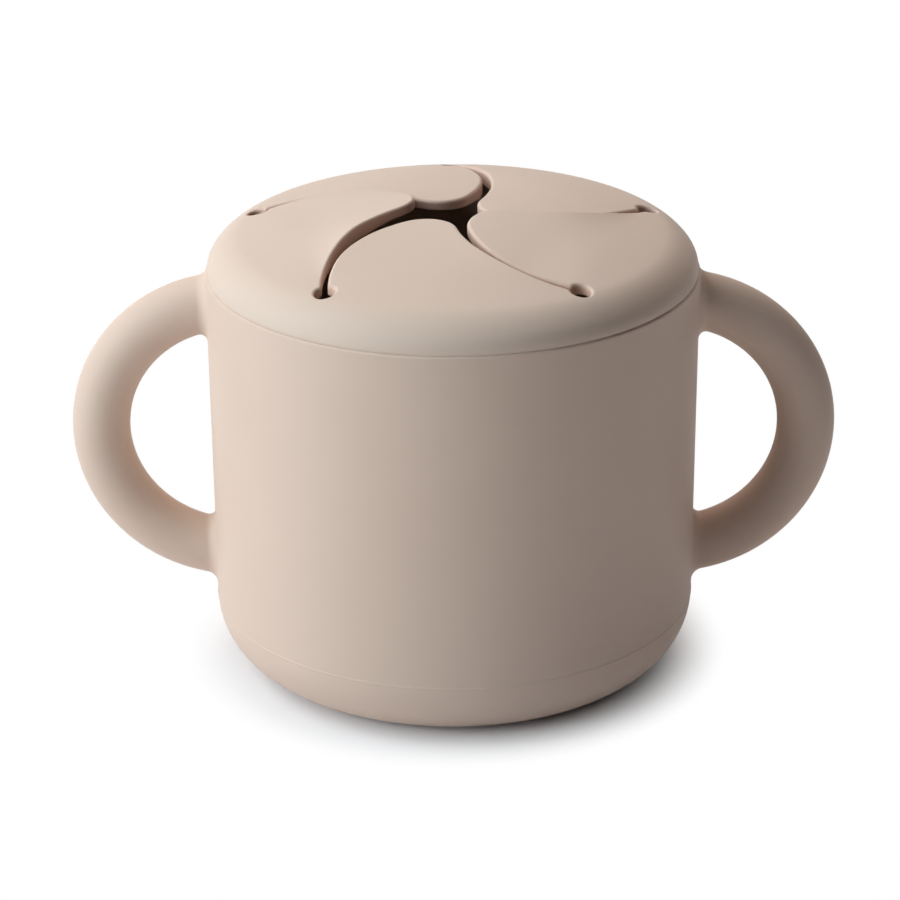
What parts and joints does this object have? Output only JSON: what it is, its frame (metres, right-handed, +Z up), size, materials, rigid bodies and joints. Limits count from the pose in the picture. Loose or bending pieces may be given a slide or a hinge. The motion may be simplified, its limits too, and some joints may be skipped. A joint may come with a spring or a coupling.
{
  "type": "toddler snack container",
  "caption": "Round soft silicone snack cup with two ring handles and a push-in domed lid whose top is slit into curved flaps that a small hand reaches through.",
  "frame": {"origin": "centre of the base on the surface the cup stands on", "axes": "+X through the right handle, +Y to the back, +Z up along the cup's axis; the front flap lies towards -Y"},
  "size_m": [0.1316, 0.0844, 0.0826],
  "materials": {
    "cup_silicone": "matte moulded silicone, warm sand, with a fine satin surface",
    "lid_silicone": "matte moulded silicone, warm sand, with a fine satin surface"
  },
  "bodies": {
    "cup_body": {"cup": "cup_silicone", "left_handle": "cup_silicone", "right_handle": "cup_silicone"},
    "lid_body": {"lid": "lid_silicone"},
    "front_flap_body": {"front_flap": "lid_silicone"},
    "right_flap_body": {"right_flap": "lid_silicone"},
    "back_right_flap_body": {"back_right_flap": "lid_silicone"},
    "back_left_flap_body": {"back_left_flap": "lid_silicone"},
    "left_flap_body": {"left_flap": "lid_silicone"}
  },
  "joints": [
    {"name": "lid_lift", "type": "slide", "parent": "cup_body", "child": "lid_body", "axis": [0, 0, 1], "range_m": [0, 0.03]},
    {"name": "front_flap_bend", "type": "hinge", "parent": "lid_body", "child": "front_flap_body", "pos_m": [0, -0.02848, 0.07701], "axis": [1, 0, 0], "range_deg": [-68, 34], "stiffness_Nm_per_rad": 0.008},
    {"name": "right_flap_bend", "type": "hinge", "parent": "lid_body", "child": "right_flap_body", "pos_m": [0.02708, -0.0088, 0.07701], "axis": [0.309, 0.9511, 0], "range_deg": [-68, 34], "stiffness_Nm_per_rad": 0.008},
    {"name": "back_right_flap_bend", "type": "hinge", "parent": "lid_body", "child": "back_right_flap_body", "pos_m": [0.01674, 0.02304, 0.07701], "axis": [-0.809, 0.5878, 0], "range_deg": [-68, 34], "stiffness_Nm_per_rad": 0.008},
    {"name": "back_left_flap_bend", "type": "hinge", "parent": "lid_body", "child": "back_left_flap_body", "pos_m": [-0.01674, 0.02304, 0.07701], "axis": [-0.809, -0.5878, 0], "range_deg": [-68, 34], "stiffness_Nm_per_rad": 0.008},
    {"name": "left_flap_bend", "type": "hinge", "parent": "lid_body", "child": "left_flap_body", "pos_m": [-0.02708, -0.0088, 0.07701], "axis": [0.309, -0.9511, 0], "range_deg": [-68, 34], "stiffness_Nm_per_rad": 0.008}
  ]
}
